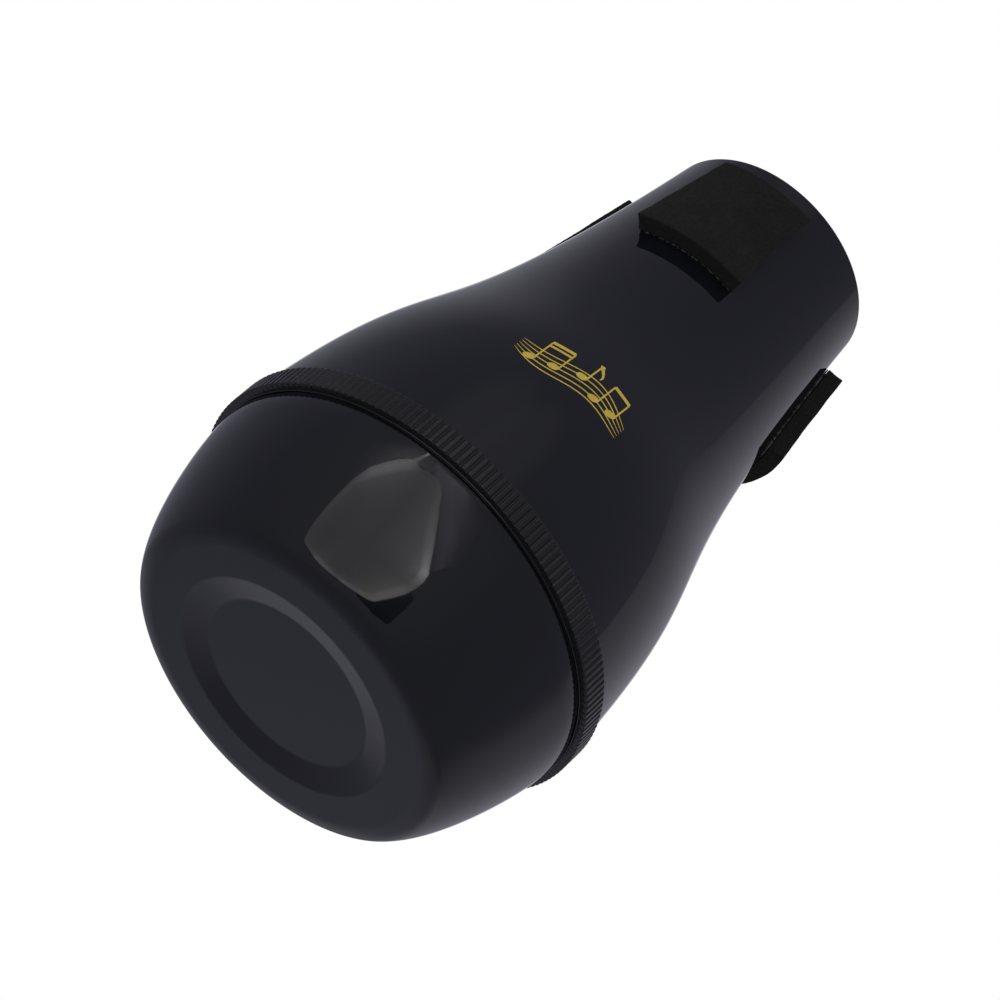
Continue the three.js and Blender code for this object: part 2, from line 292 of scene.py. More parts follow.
def turned(name, corners, closed=True, steps=TURN_STEPS):
    """A smooth solid turned about Z. An open outline starts and ends on the axis."""
    outline = rounded(corners, closed)
    directions = outline_normals(outline, closed)
    points, normals, faces = [], [], []
    rows = []
    for (r, z), (out_r, out_z) in zip(outline, directions):
        on_axis = r < 1e-6
        row = []
        for i in range(1 if on_axis else steps):
            turn = 2 * math.pi * i / steps
            points.append((r * math.cos(turn), r * math.sin(turn), z))
            if on_axis:
                normals.append((0, 0, math.copysign(1, out_z)))
            else:
                normals.append((out_r * math.cos(turn), out_r * math.sin(turn), out_z))
            row.append(len(points) - 1)
        rows.append(row)
    pairs = list(zip(rows, rows[1:]))
    if closed:
        pairs.append((rows[-1], rows[0]))
    for lower, upper in pairs:
        for i in range(steps):
            j = (i + 1) % steps
            if len(lower) == 1:
                faces.append((lower[0], upper[j], upper[i]))
            elif len(upper) == 1:
                faces.append((lower[i], lower[j], upper[0]))
            else:
                faces.append((lower[i], lower[j], upper[j], upper[i]))
    return new_piece(name, points, faces, normals)


def body_shell():
    """The moulded body, from its mouth in the ring to the neck's lip, with its inner ledges."""
    lip_clear = 1.4 * NECK_LIP_ROUND
    outer = [bezier(*BODY_CURVE, i / BODY_STEPS) for i in range(BODY_STEPS)]
    outer = [p for p in outer if p[1] < MUTE_LENGTH - lip_clear]
    ledge_r = NECK_BORE_R - LEDGE_WIDTH
    ledge_foot = INSERT_BASE - LEDGE_HEIGHT
    baffle_ledge_r = body_inner_r(BAFFLE_TOP) - BAFFLE_LEDGE_WIDTH
    baffle_root = BAFFLE_TOP + LEDGE_HEIGHT + BAFFLE_LEDGE_WIDTH
    land_top = RING_BASE + MOUTH_LAND_LENGTH
    land_root = land_top + (body_inner_r(land_top) - MOUTH_R)
    corners = [
        (MOUTH_R, RING_BASE, MOUTH_CHAMFER),
        (SEAT_R, RING_BASE, EDGE_ROUND),
        (SEAT_R, RING_TOP, EDGE_ROUND),
        (BODY_BASE_R, RING_TOP, EDGE_ROUND),
        *outer[1:],
        (NECK_R, MUTE_LENGTH, NECK_LIP_ROUND),
        (NECK_BORE_R, MUTE_LENGTH, EDGE_ROUND * 2),
        (NECK_BORE_R, INSERT_BASE, EDGE_ROUND),
        (ledge_r, INSERT_BASE, EDGE_ROUND),
        (ledge_r, ledge_foot, EDGE_ROUND),
        *inner_wall(ledge_foot - LEDGE_WIDTH, baffle_root, UPPER_WALL_STEPS),
        (baffle_ledge_r, BAFFLE_TOP + LEDGE_HEIGHT, EDGE_ROUND),
        (baffle_ledge_r, BAFFLE_TOP, EDGE_ROUND),
        *inner_wall(BAFFLE_TOP, land_root, LOWER_WALL_STEPS),
        (MOUTH_R, land_top, EDGE_ROUND),
    ]
    return turned("body_shell", corners)


def cap_outer():
    """The cap's outer curve: the foot's flat rolls gently into the side, which rises to the rim."""
    corner_r = FOOT_R + FOOT_CORNER_RUN
    knee_r = corner_r - FOOT_CORNER_RISE / math.tan(FOOT_CORNER_TURN)
    points = []
    for i in range(FOOT_CORNER_STEPS + 1):
        share = i / FOOT_CORNER_STEPS
        rest = 1 - share
        r = rest**2 * FOOT_R + 2 * rest * share * knee_r + share**2 * corner_r
        points.append((r, share**2 * FOOT_CORNER_RISE))
    r, z = points[-1]
    side = (
        (r, z),
        (
            r + CAP_FOOT_REACH * math.cos(FOOT_CORNER_TURN),
            z + CAP_FOOT_REACH * math.sin(FOOT_CORNER_TURN),
        ),
        (
            CAP_RIM_R - CAP_RIM_REACH * math.sin(CAP_RIM_SLOPE),
            CAP_HEIGHT - CAP_RIM_REACH * math.cos(CAP_RIM_SLOPE),
        ),
        (CAP_RIM_R, CAP_HEIGHT),
    )
    for i in range(1, CAP_SIDE_STEPS + 1):
        r, z = bezier(*side, i / CAP_SIDE_STEPS)
        roll = max(0.0, 1 - (CAP_HEIGHT - z) / CAP_RIM_ROLL_HEIGHT)
        points.append((r - CAP_RIM_ROLL * roll**2, z))
    return points


def cap_inner(outer):
    """The outer curve moved in by the wall, from the floor up to the spigot's bore."""
    outer = [Vector(p) for p in outer]
    moved = [p - WALL * n for p, n in zip(outer, outline_normals(outer, False))]
    inside = [p for p in moved if p.y > CAP_FLOOR and p.x < SPIGOT_INNER_R]
    first, last = inside[0], inside[-1]
    below, above = moved[moved.index(first) - 1], moved[moved.index(last) + 1]
    start = below.lerp(first, (CAP_FLOOR - below.y) / (first.y - below.y))
    end = last.lerp(above, (SPIGOT_INNER_R - last.x) / (above.x - last.x))
    return [start, *inside, end]


def cap_shell():
    """The cap: its dished foot and side, the groove of the seal, and the spigot with its bore."""
    outer = cap_outer()
    groove_r = SEAL_OUTER_R + NEST_GAP
    rim_clear = 3 * RIM_ROUND
    corners = [
        (0, DISH_DEPTH),
        (DISH_FLOOR_R, DISH_DEPTH, DISH_EDGE_ROUND),
        (DISH_R, 0, DISH_EDGE_ROUND),
        *[p for p in outer[:-1] if p[1] < CAP_HEIGHT - rim_clear],
        (*outer[-1], RIM_ROUND),
        (groove_r, CAP_HEIGHT, EDGE_ROUND / 2),
        (groove_r, SEAL_BASE, EDGE_ROUND / 2),
        (SPIGOT_R, SEAL_BASE, EDGE_ROUND / 2),
        (SPIGOT_R, SPIGOT_TOP - SPIGOT_TIP_CHAMFER, EDGE_ROUND),
        (SPIGOT_R - SPIGOT_TIP_CHAMFER, SPIGOT_TOP, EDGE_ROUND),
        (SPIGOT_INNER_R, SPIGOT_TOP, EDGE_ROUND),
        *reversed(cap_inner(outer)),
        (0, CAP_FLOOR),
    ]
    return turned("cap_shell", corners, closed=False)


# How deep a flute is at each share of its pitch, from 0 on the land to 1 on its floor
FLUTE_FORM = (
    (0.02, 0.03), (0.07, 0.0), (0.20, 0.0), (0.33, 0.0), (0.42, 0.0), (0.47, 0.06), (0.52, 0.25),
    (0.58, 0.6), (0.64, 0.88), (0.70, 1.0), (0.76, 1.0), (0.82, 0.88), (0.88, 0.6), (0.93, 0.3),
    (0.98, 0.08),
)


def fluted_ring():
    """The ring: fine flutes with rounded lands, which stand out over a narrow plain lip."""
    inner_r = RING_RADIUS - RING_WALL
    step = RING_BASE + RING_LIP_HEIGHT
    lip_round = 0.12
    lowest_row, highest_row = step + 0.3, RING_TOP - RING_TOP_ROUND - 0.2
    # Rows across the outer face as (height, how far in the face is cut there)
    rows = [
        (RING_BASE, RING_LIP_CUT + RING_NOSE),
        (RING_BASE + RING_NOSE, RING_LIP_CUT),
        (step, RING_LIP_CUT),
        (step, lip_round),
        (step + lip_round / 3, lip_round / 3),
        (step + lip_round, 0.0),
        (lowest_row, 0.0),
        (highest_row, 0.0),
    ]
    for k in range(ARC_STEPS + 1):
        turn = math.pi / 2 * k / ARC_STEPS
        drop = RING_TOP_ROUND * (1 - math.sin(turn))
        rows.append((RING_TOP - drop, RING_TOP_ROUND * (1 - math.cos(turn))))
    points, faces = [], []
    columns = FLUTE_COUNT * len(FLUTE_FORM)
    height = len(rows) + 2
    for flute in range(FLUTE_COUNT):
        for share, depth in FLUTE_FORM:
            turn = 2 * math.pi * (flute + share) / FLUTE_COUNT
            c, s = math.cos(turn), math.sin(turn)
            points.append((inner_r * c, inner_r * s, RING_BASE))
            for z, cut in rows:
                r = RING_RADIUS - max(FLUTE_DEPTH * depth, cut)
                points.append((r * c, r * s, z))
            points.append((inner_r * c, inner_r * s, RING_TOP))
    for i in range(columns):
        j = (i + 1) % columns
        for k in range(height):
            m = (k + 1) % height
            faces.append((i * height + k, j * height + k, j * height + m, i * height + m))
    return new_piece("grip_ring", points, faces, sharp=50)


# Two-start screw thread: ridges stand in the gap between the cap's spigot and the body's mouth
THREAD_STARTS = 2
THREAD_SUNK = 0.08
THREAD_ROOT_WIDTH = 1.25
THREAD_CREST_WIDTH = 0.55
THREAD_HEIGHT = 0.62
THREAD_STEPS = 144
THREAD_FADE_TURNS = 0.125
THREAD_END_SINK_SHARE = 0.9
THREAD_ABOVE_SEAL = 2.6
THREAD_BELOW_TIP = 1.6
THREAD_BELOW_LAND = 1.2
joints = {joint["name"]: joint for joint in frame["joints"]}
THREAD_LEAD = joints["body_lift"]["range_m"][1] / MM * 360 / joints["body_turn"]["range_deg"][1]


def thread(name, wall_r, outward, low, high):
    """Right-handed ridges on a wall, which fade in and out at their ends."""
    points, faces = [], []
    section = (
        (-THREAD_ROOT_WIDTH / 2, -THREAD_SUNK),
        (-THREAD_CREST_WIDTH / 2, THREAD_HEIGHT),
        (THREAD_CREST_WIDTH / 2, THREAD_HEIGHT),
        (THREAD_ROOT_WIDTH / 2, -THREAD_SUNK),
    )
    turns = (high - low) / THREAD_LEAD
    steps = round(THREAD_STEPS * turns)
    for start in range(THREAD_STARTS):
        base = len(points)
        for i in range(steps + 1):
            share = i / steps
            turn = 2 * math.pi * (turns * share + start / THREAD_STARTS)
            z = low + (high - low) * share
            fade = min(1, min(share, 1 - share) * turns / THREAD_FADE_TURNS)
            ease = fade * fade * (3 - 2 * fade)
            end_sink = THREAD_SUNK * (1 - ease) * THREAD_END_SINK_SHARE
            for across, rise in section:
                lift = rise if rise < 0 else rise * ease - end_sink
                r = wall_r + outward * lift
                points.append((r * math.cos(turn), r * math.sin(turn), z + across))
        count = len(section)
        for i in range(steps):
            for k in range(count):
                m = (k + 1) % count
                a, b = base + i * count, base + (i + 1) * count
                faces.append((a + k, b + k, b + m, a + m))
        faces.append(tuple(base + k for k in range(count)))
        faces.append(tuple(base + steps * count + k for k in reversed(range(count))))
    if outward < 0:
        faces = [face[::-1] for face in faces]
    return new_piece(name, points, faces, sharp=35)


# Soft pieces

PAD_EDGE_ROUND = 0.3
PAD_CORNER_ROUND = 0.55
PAD_CELL = 0.4
PAD_WAIST = 0.08
PAD_SAG = 0.09
# Where the waist, the sag and the cut sides begin, as shares of the way from a pad's middle to its rim
WAIST_FROM_SHARE = 0.85
SAG_FROM_SHARE = 0.55
SIDE_FROM_SHARE = 0.98
# The sag's squared share on the rim, near enough
SAG_SQUARE = 0.2
PAD_NOISE_STEP = 40.0
# Foam surfaces, as (how fine, how high) for each scale of their unevenness
PAD_GRAIN = ((0.22, 0.1), (1.1, 0.05), (2.3, 0.035))
DAMPING_GRAIN = ((0.5, 0.22), (1.4, 0.12))


def unevenness(place, grain):
    """A foam surface's height at a place."""
    return sum(noise.noise(place * fine) * high for fine, high in grain)


def ticks(half, edge, cell):
    """Places of grid lines from -half to half, close together in the rounded edges."""
    core = half - edge
    ends = [core + edge * math.tan(math.radians(a)) for a in (45, 30, 15)]
    count = max(2, round(2 * core / cell))
    middle = [-core + 2 * core * i / count for i in range(count + 1)]
    return [-e for e in ends] + middle + ends[::-1]


def grid_box(xs, ys, zs):
    """The surface of a box whose faces carry the given grid lines: its points and its faces."""
    sizes = (len(xs), len(ys), len(zs))
    index, points, faces = {}, [], []

    def corner(i, j, k):
        if (i, j, k) not in index:
            index[i, j, k] = len(points)
            points.append((xs[i], ys[j], zs[k]))
        return index[i, j, k]

    for axis in range(3):
        u, v = (axis + 1) % 3, (axis + 2) % 3
        for end in (0, sizes[axis] - 1):
            for a in range(sizes[u] - 1):
                for b in range(sizes[v] - 1):
                    quad = []
                    for da, db in ((0, 0), (1, 0), (1, 1), (0, 1)):
                        place = [0, 0, 0]
                        place[axis], place[u], place[v] = end, a + da, b + db
                        quad.append(corner(*place))
                    faces.append(tuple(quad if end else reversed(quad)))
    return points, faces


def pillowed(point, halves, edge):
    """A point of a box's surface moved so that the box has edges of that round."""
    core = Vector(max(edge - h, min(h - edge, p)) for p, h in zip(point, halves))
    away = Vector(point) - core
    return core + away.normalized() * edge


def foam_pad(side, centre):
    """A die-cut foam pad, wrapped on the neck, with its own uneven surface and soft cut edges."""
    stand_off = 2 * GLUE_LINE + TAPE_THICKNESS
    thickness = PAD_RISE - stand_off
    mean_width = (PAD_CAP_WIDTH + PAD_NECK_WIDTH) / 2
    halves = (mean_width / 2, PAD_LENGTH / 2, thickness / 2)
    seed = PAD_NOISE_STEP * list(PAD_CENTRES).index(side)
    points, faces = grid_box(*(ticks(h, PAD_EDGE_ROUND, PAD_CELL) for h in halves))
    shaped = []
    for point in points:
        p = pillowed(point, halves, PAD_EDGE_ROUND)
        # The cutter's corners are a little round, seen from above
        dx = abs(p.x) - (halves[0] - PAD_CORNER_ROUND)
        dy = abs(p.y) - (halves[1] - PAD_CORNER_ROUND)
        if dx > 0 and dy > 0:
            shrink = max(dx, dy) / math.hypot(dx, dy)
            p.x = math.copysign(halves[0] - PAD_CORNER_ROUND + dx * shrink, p.x)
            p.y = math.copysign(halves[1] - PAD_CORNER_ROUND + dy * shrink, p.y)
        along = p.y / PAD_LENGTH + 0.5
        depth = p.z / thickness + 0.5
        # The cut sides draw in at mid height, and the open top sags towards its edges
        rim = max(abs(p.x) / halves[0], abs(p.y) / halves[1])
        near_rim = max(0.0, rim - WAIST_FROM_SHARE) / (1 - WAIST_FROM_SHARE)
        waist = PAD_WAIST * math.sin(math.pi * depth) * near_rim
        sag = PAD_SAG * depth * max(0.0, rim - SAG_FROM_SHARE) ** 2 / SAG_SQUARE
        width = PAD_CAP_WIDTH + (PAD_NECK_WIDTH - PAD_CAP_WIDTH) * along
        across = p.x / mean_width * width * (1 - waist / halves[0])
        height = PAD_START + PAD_LENGTH * along
        if rim > SIDE_FROM_SHARE:
            height -= math.copysign(waist, p.y)
        rough = unevenness(Vector((across, height, seed)), PAD_GRAIN)
        lift = stand_off + thickness * depth - sag + rough * depth
        leaning = across + (along - 0.5) * PAD_SIDE_LEAN
        shaped.append(over_body(centre, leaning, height, lift))
    pad = new_piece(f"pad_{side}", shaped, faces)
    return pad


def damping_pad():
    """The foam disc in the cap: crowned, with a soft rim and a cellular surface."""
    crown, rim_round, side_draw_in, foot_draw_in, glued_height = 0.9, 2.4, 0.25, 0.3, 0.5
    side_share = 0.7
    floor_steps, side_steps, rim_steps, top_steps, turn_steps = 8, 6, 9, 14, 160
    side_height = (DAMPING_TOP - DAMPING_BASE) * side_share
    top = []
    for i in range(top_steps + 1):
        r = (DAMPING_R - rim_round) * (1 - i / top_steps)
        top.append((r, DAMPING_TOP - crown * (r / DAMPING_R) ** 2))
    shoulder_z = top[0][1]
    shoulder = []
    for k in range(1, rim_steps):
        turn = math.pi / 2 * k / rim_steps
        r = DAMPING_R - rim_round * (1 - math.cos(turn))
        shoulder.append((r, shoulder_z - rim_round * (1 - math.sin(turn))))
    side = []
    for k in range(1, side_steps):
        r = DAMPING_R - side_draw_in * math.sin(math.pi * k / side_steps)
        side.append((r, DAMPING_BASE + side_height * k / side_steps))
    outline = [(DAMPING_R * k / floor_steps, DAMPING_BASE) for k in range(floor_steps)]
    outline += [(DAMPING_R - foot_draw_in, DAMPING_BASE), *side, *shoulder, *top]
    pad = turned("damping_foam", outline, closed=False, steps=turn_steps)
    for vertex in pad.data.vertices:
        place = vertex.co / MM
        if place.z > DAMPING_BASE + glued_height:
            vertex.co.z -= abs(unevenness(place, DAMPING_GRAIN)) * MM
    return pad


# A printed ornament of plain music notes on a waving stave, where the photograph has a name

ORNAMENT_CENTRE = math.radians(-9)
ORNAMENT_HEIGHT = 65.0
INK_LIFT = 0.012
INK_THICKNESS = 0.02
INK_STEP = 0.002
INK_LEVELS = 5
STAVE_HALF = 12.6
STAVE_PITCH = 1.45
STAVE_LINE = 0.28
STAVE_WAVE = 1.5
STAVE_SHIFT = 2.0
STAVE_NARROWING_SHARE = 0.42
LINE_TIP_SHARE = 0.35
NOTE_LENGTH = 1.2
NOTE_THICKNESS = 0.84
NOTE_TILT = math.radians(24)
NOTE_ROWS = 13
STEM_ROOT = Vector((0.98, 0.2))
STEM_WIDTH = 0.34
BEAM_WIDTH = 0.85
LOWER_BEAM_WIDTH = 0.6
BEAM_DROP = Vector((0, 1.35))
STROKE_STEP = 0.6


def stave_level(u, line):
    """The height of one of the stave's lines, counted from -2 to 2, at u along it."""
    spread = 1 - STAVE_NARROWING_SHARE * (u / STAVE_HALF) ** 2
    wave = STAVE_WAVE * math.sin(math.pi * (u + STAVE_SHIFT) / STAVE_HALF)
    return wave + line * STAVE_PITCH * spread


def ribbon(path, widths):
    """The two sides of a stroke along a path, as rows of (left, right) points."""
    rows = []
    for i, here in enumerate(path):
        before, after = path[max(i - 1, 0)], path[min(i + 1, len(path) - 1)]
        along = (after - before).normalized()
        aside = Vector((-along.y, along.x)) * widths[i] / 2
        rows.append((here + aside, here - aside))
    return rows


def head_rows(centre):
    """A note's head, a tilted ellipse, as rows of (left, right) points from tip to tip."""
    rows = []
    tilt = Matrix.Rotation(NOTE_TILT, 2)
    tip = 0.15
    for k in range(NOTE_ROWS):
        swing = math.pi * (k + tip) / (NOTE_ROWS - 1 + 2 * tip)
        x, y = -NOTE_LENGTH * math.cos(swing), NOTE_THICKNESS * math.sin(swing)
        rows.append((centre + tilt @ Vector((x, y)), centre + tilt @ Vector((x, -y))))
    return rows


def straight(a, b, width):
    """A straight stroke of one width, as rows of (left, right) points."""
    count = max(2, round((b - a).length / STROKE_STEP))
    path = [a.lerp(b, i / count) for i in range(count + 1)]
    return ribbon(path, [width] * len(path))


def note(u, line, stem):
    """A note on a line of the stave: its head's rows, its stem's rows and the stem's top."""
    centre = Vector((u, stave_level(u, line)))
    foot = centre + STEM_ROOT
    top = foot + Vector((0, stem))
    return head_rows(centre), straight(foot, top, STEM_WIDTH), top


def beamed_pair(first, second):
    """The strokes of two notes joined by a beam, and the ends of the beam."""
    first_head, first_stem, first_top = note(*first)
    second_head, second_stem, second_top = note(*second)
    beam = straight(first_top, second_top, BEAM_WIDTH)
    return [first_head, second_head, first_stem, second_stem, beam], first_top, second_top


def ornament_strokes():
    """The stave's five lines, a pair of notes with two beams, a note with a flag, and a pair."""
    strokes = []
    steps, tip_share = 48, 1 / 6
    for line in range(-2, 3):
        path, widths = [], []
        for i in range(steps + 1):
            u = STAVE_HALF * (2 * i / steps - 1)
            path.append(Vector((u, stave_level(u, line))))
            tip = min(1, min(i, steps - i) / steps / tip_share)
            widths.append(STAVE_LINE * (LINE_TIP_SHARE + (1 - LINE_TIP_SHARE) * tip))
        strokes.append(ribbon(path, widths))

    left_pair, first_top, second_top = beamed_pair((-9.2, -1, 7.0), (-4.6, 0, 6.4))
    lower_beam = straight(first_top - BEAM_DROP, second_top - BEAM_DROP, LOWER_BEAM_WIDTH)
    head, stem, top = note(0.2, 1, 6.2)
    flag, widths = [], []
    flag_steps, flag_reach, flag_curl, flag_drop = 10, 1.9, 2.2, 3.6
    flag_width, flag_taper = 0.95, 0.8
    for i in range(flag_steps + 1):
        t = i / flag_steps
        flag.append(top + Vector((flag_reach * math.sin(flag_curl * t) * t**0.5, -flag_drop * t)))
        widths.append(flag_width * (1 - flag_taper * t))
    right_pair, _, _ = beamed_pair((4.6, -1, 6.6), (8.8, 0, 5.6))
    return [*strokes, *left_pair, lower_beam, head, stem, ribbon(flag, widths), *right_pair]


def ornament():
    """The print: thin strokes wrapped on the body, a hair apart in height where they cross."""
    points, faces = [], []
    for order, rows in enumerate(ornament_strokes()):
        base = len(points)
        lift = INK_LIFT + INK_STEP * (order % INK_LEVELS)
        for left, right in rows:
            for u, v in (left, right):
                for over in (lift, lift + INK_THICKNESS):
                    points.append(over_body(ORNAMENT_CENTRE, u, ORNAMENT_HEIGHT + v, over))
        # Corners of each row: left low, left high, right low, right high
        for i in range(len(rows) - 1):
            a, b = base + 4 * i, base + 4 * (i + 1)
            faces.append((a + 1, a + 3, b + 3, b + 1))
            faces.append((a + 2, a, b, b + 2))
            faces.append((a, a + 1, b + 1, b))
            faces.append((a + 3, a + 2, b + 2, b + 3))
        end = base + 4 * (len(rows) - 1)
        faces.append((base, base + 2, base + 3, base + 1))
        faces.append((end, end + 1, end + 3, end + 2))
    return new_piece("printed_ornament", points, faces, sharp=40)


# Materials

def set_inputs(tree, node, values):
    """Sets a node's inputs by name or number: another node's output is linked, the rest are constants."""
    for key, value in values.items():
        if isinstance(value, bpy.types.NodeSocket):
            tree.links.new(value, node.inputs[key])
        else:
            node.inputs[key].default_value = value


def add_node(tree, kind, values, output=0, **options):
    """Adds a node with its options and inputs set, and gives one of its outputs."""
    node = tree.nodes.new(kind)
    for name, value in options.items():
        setattr(node, name, value)
    set_inputs(tree, node, values)
    return node.outputs[output]


def product(tree, a, b):
    return add_node(tree, "ShaderNodeMath", {0: a, 1: b}, operation="MULTIPLY")


class Look:
    """A material in the making. Its patterns lie in the object's own coordinates."""

    def __init__(self, name):
        self.material = bpy.data.materials.new(name)
        self.material.use_nodes = True
        self.tree = self.material.node_tree
        self.place = add_node(self.tree, "ShaderNodeTexCoord", {}, "Object")

    def noise(self, scale, detail, rough=0.5):
        values = {"Vector": self.place, "Scale": scale, "Detail": detail, "Roughness": rough}
        return add_node(self.tree, "ShaderNodeTexNoise", values, "Fac")

    def cells(self, scale):
        values = {"Vector": self.place, "Scale": scale}
        return add_node(self.tree, "ShaderNodeTexVoronoi", values, "Distance")

    def range(self, value, low, high, to_low, to_high):
        values = {"Value": value, "From Min": low, "From Max": high, "To Min": to_low, "To Max": to_high}
        return add_node(self.tree, "ShaderNodeMapRange", values, "Result")

    def blend(self, factor, first, second):
        """A colour between two, by a factor from 0 to 1."""
        values = {"Factor": factor, "A": (*first, 1), "B": (*second, 1)}
        colour_result = 2
        return add_node(self.tree, "ShaderNodeMix", values, colour_result, data_type="RGBA")

    def bump(self, height, distance, strength, under=None):
        """A pattern as a bump, its distance in metres, over another bump if one is given."""
        values = {"Height": height, "Distance": distance, "Strength": strength}
        if under is not None:
            values["Normal"] = under
        return add_node(self.tree, "ShaderNodeBump", values, "Normal")

    def finished(self, values):
        """The material, with its shader's own sockets set."""
        set_inputs(self.tree, self.tree.nodes["Principled BSDF"], values)
        return self.material


def gloss_plastic():
    """Glossy black plastic: a faint ripple from the mould, hazier and clearer patches, a little dust."""
    look = Look("gloss_black")
    specks = look.range(look.cells(900.0), 0.035, 0.06, 1.0, 0.0)
    swell = look.bump(look.noise(22.0, 1.0), 0.00006, 0.5)
    return look.finished({
        "Base Color": look.blend(specks, (0.0072, 0.0077, 0.0100), (0.02, 0.02, 0.02)),
        "Roughness": look.range(look.noise(55.0, 3.0), 0.35, 0.7, 0.02, 0.045),
        "Normal": look.bump(look.noise(90.0, 2.0), 0.000012, 0.5, swell),
        "IOR": 1.5,
    })


def ring_plastic():
    """Black plastic with the duller skin of a fluted mould insert."""
    look = Look("ring_black")
    grain = look.noise(700.0, 4.0, 0.6)
    patches = look.noise(60.0, 3.0)
    return look.finished({
        "Base Color": look.blend(patches, (0.0115, 0.0118, 0.013), (0.015, 0.0153, 0.0165)),
        "Roughness": look.range(grain, 0.3, 0.7, 0.18, 0.3),
        "Normal": look.bump(grain, 0.00002, 0.4),
        "IOR": 1.42,
    })


def inner_plastic():
    """Matte black plastic with a spark-eroded texture."""
    look = Look("inner_black")
    texture = look.noise(1600.0, 5.0, 0.7)
    patches = look.noise(80.0, 3.0)
    return look.finished({
        "Base Color": look.blend(patches, (0.013, 0.013, 0.014), (0.021, 0.021, 0.022)),
        "Roughness": look.range(texture, 0.3, 0.7, 0.42, 0.62),
        "Normal": look.bump(texture, 0.00004, 0.5),
    })


def rubber():
    """Dull black rubber with a fine bloom."""
    look = Look("rubber_black")
    bloom = look.noise(250.0, 5.0, 0.6)
    return look.finished({
        "Base Color": look.blend(bloom, (0.010, 0.010, 0.010), (0.026, 0.026, 0.027)),
        "Roughness": look.range(bloom, 0.3, 0.7, 0.65, 0.85),
        "Normal": look.bump(bloom, 0.00005, 0.4),
    })


def pad_material():
    """Black closed-cell foam: fine cut cells, warm charcoal where they catch the light."""
    look = Look("pad_foam")
    grain = look.noise(1500.0, 6.0, 0.65)
    grain_tone = look.range(grain, 0.25, 0.75, 0.15, 1.0)
    patch_tone = look.range(look.noise(120.0, 4.0, 0.6), 0.2, 0.8, 0.55, 1.0)
    tone = product(look.tree, grain_tone, patch_tone)
    cells = look.bump(look.cells(2600.0), 0.00010, 0.5)
    return look.finished({
        "Base Color": look.blend(tone, (0.0042, 0.0042, 0.0040), (0.0195, 0.0192, 0.0180)),
        "Roughness": 0.95,
        "Specular IOR Level": 0.22,
        "Sheen Weight": 0.015,
        "Sheen Roughness": 0.6,
        "Normal": look.bump(grain, 0.00014, 0.6, cells),
    })


def soft_foam():
    """Open-cell damping foam."""
    look = Look("soft_foam")
    cells = look.cells(900.0)
    return look.finished({
        "Base Color": look.blend(cells, (0.055, 0.056, 0.060), (0.012, 0.012, 0.013)),
        "Roughness": 1.0,
        "Normal": look.bump(look.noise(700.0, 5.0, 0.6), 0.0002, 0.5, look.bump(cells, 0.0005, 0.7)),
    })


def tape():
    """Clear adhesive film, cloudy where it is stuck and pale in dots along its cut edge."""
    look = Look("clear_tape")
    dots = look.noise(1100.0, 2.0)
    amount = look.range(dots, 0.46, 0.6, 0.0, 1.0)
    return look.finished({
        "Base Color": look.blend(amount, (0.008, 0.008, 0.008), (0.12, 0.12, 0.112)),
        "Roughness": 0.4,
        "Normal": look.bump(dots, 0.00005, 0.5),
    })


def gold_ink():
    """Screen-printed gold ink: satin, with the mesh's fine dots and thin places."""
    look = Look("gold_ink")
    mesh_dots = look.cells(2300.0)
    thin = look.range(look.noise(900.0, 4.0, 0.7), 0.3, 0.72, 0.0, 1.0)
    return look.finished({
        "Base Color": look.blend(thin, (0.86, 0.64, 0.105), (0.60, 0.43, 0.045)),
        "Metallic": 0.15,
        "Roughness": look.range(mesh_dots, 0.0, 0.6, 0.35, 0.55),
        "Normal": look.bump(mesh_dots, 0.00002, 0.5),
    })


MATERIALS = {
    "gloss_black": gloss_plastic(),
    "ring_black": ring_plastic(),
    "inner_black": inner_plastic(),
    "rubber_black": rubber(),
    "pad_foam": pad_material(),
    "soft_foam": soft_foam(),
    "clear_tape": tape(),
}


HARD_EDGE = math.radians(32)


def finish_piece(piece, body, slot, replaced=()):
    """Gives a new piece the slot's material and its body, and hides the CAD nodes that it stands for."""
    piece.data.materials.append(MATERIALS[slot])
    if replaced:
        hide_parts(*replaced)
    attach(piece, body)


def dress_node(node, slot):
    """A CAD node that stays as it is: its material, and smooth shading between its hard edges."""
    mesh = frame["nodes"][node].data
    mesh.materials.clear()
    mesh.materials.append(MATERIALS[slot])
    mesh.shade_smooth()
    mesh.set_sharp_from_angle(angle=HARD_EDGE)


finish_piece(body_shell(), "body", "gloss_black", ["neck_shell"])
finish_piece(fluted_ring(), "body", "ring_black", ["fluted_ring"])
finish_piece(cap_shell(), "cap", "gloss_black", ["end_cap"])

# The mouth's ridges run midway between the spigot's
cap_thread_low = SEAL_BASE + THREAD_ABOVE_SEAL
cap_thread_high = SPIGOT_TOP - THREAD_BELOW_TIP
mouth_thread_low = cap_thread_low + THREAD_LEAD / (2 * THREAD_STARTS)
mouth_thread_high = RING_BASE + MOUTH_LAND_LENGTH - THREAD_BELOW_LAND
cap_thread = thread("cap_thread", SPIGOT_R, 1, cap_thread_low, cap_thread_high)
finish_piece(cap_thread, "cap", "gloss_black")
mouth_thread = thread("mouth_thread", MOUTH_R, -1, mouth_thread_low, mouth_thread_high)
finish_piece(mouth_thread, "body", "gloss_black")

for side, centre in PAD_CENTRES.items():
    finish_piece(foam_pad(side, centre), "body", "pad_foam", [f"foam_pad_{side}"])
    dress_node(f"pad_tape_{side}", "clear_tape")
finish_piece(damping_pad(), "cap", "soft_foam", ["damping_disc"])

print_mark = ornament()
print_mark.data.materials.append(gold_ink())
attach(print_mark, "body")

for node in ("neck_insert", "air_tube", "baffle_disc"):
    dress_node(node, "inner_black")
for node in ("cap_seal", "tube_grommet"):
    dress_node(node, "rubber_black")


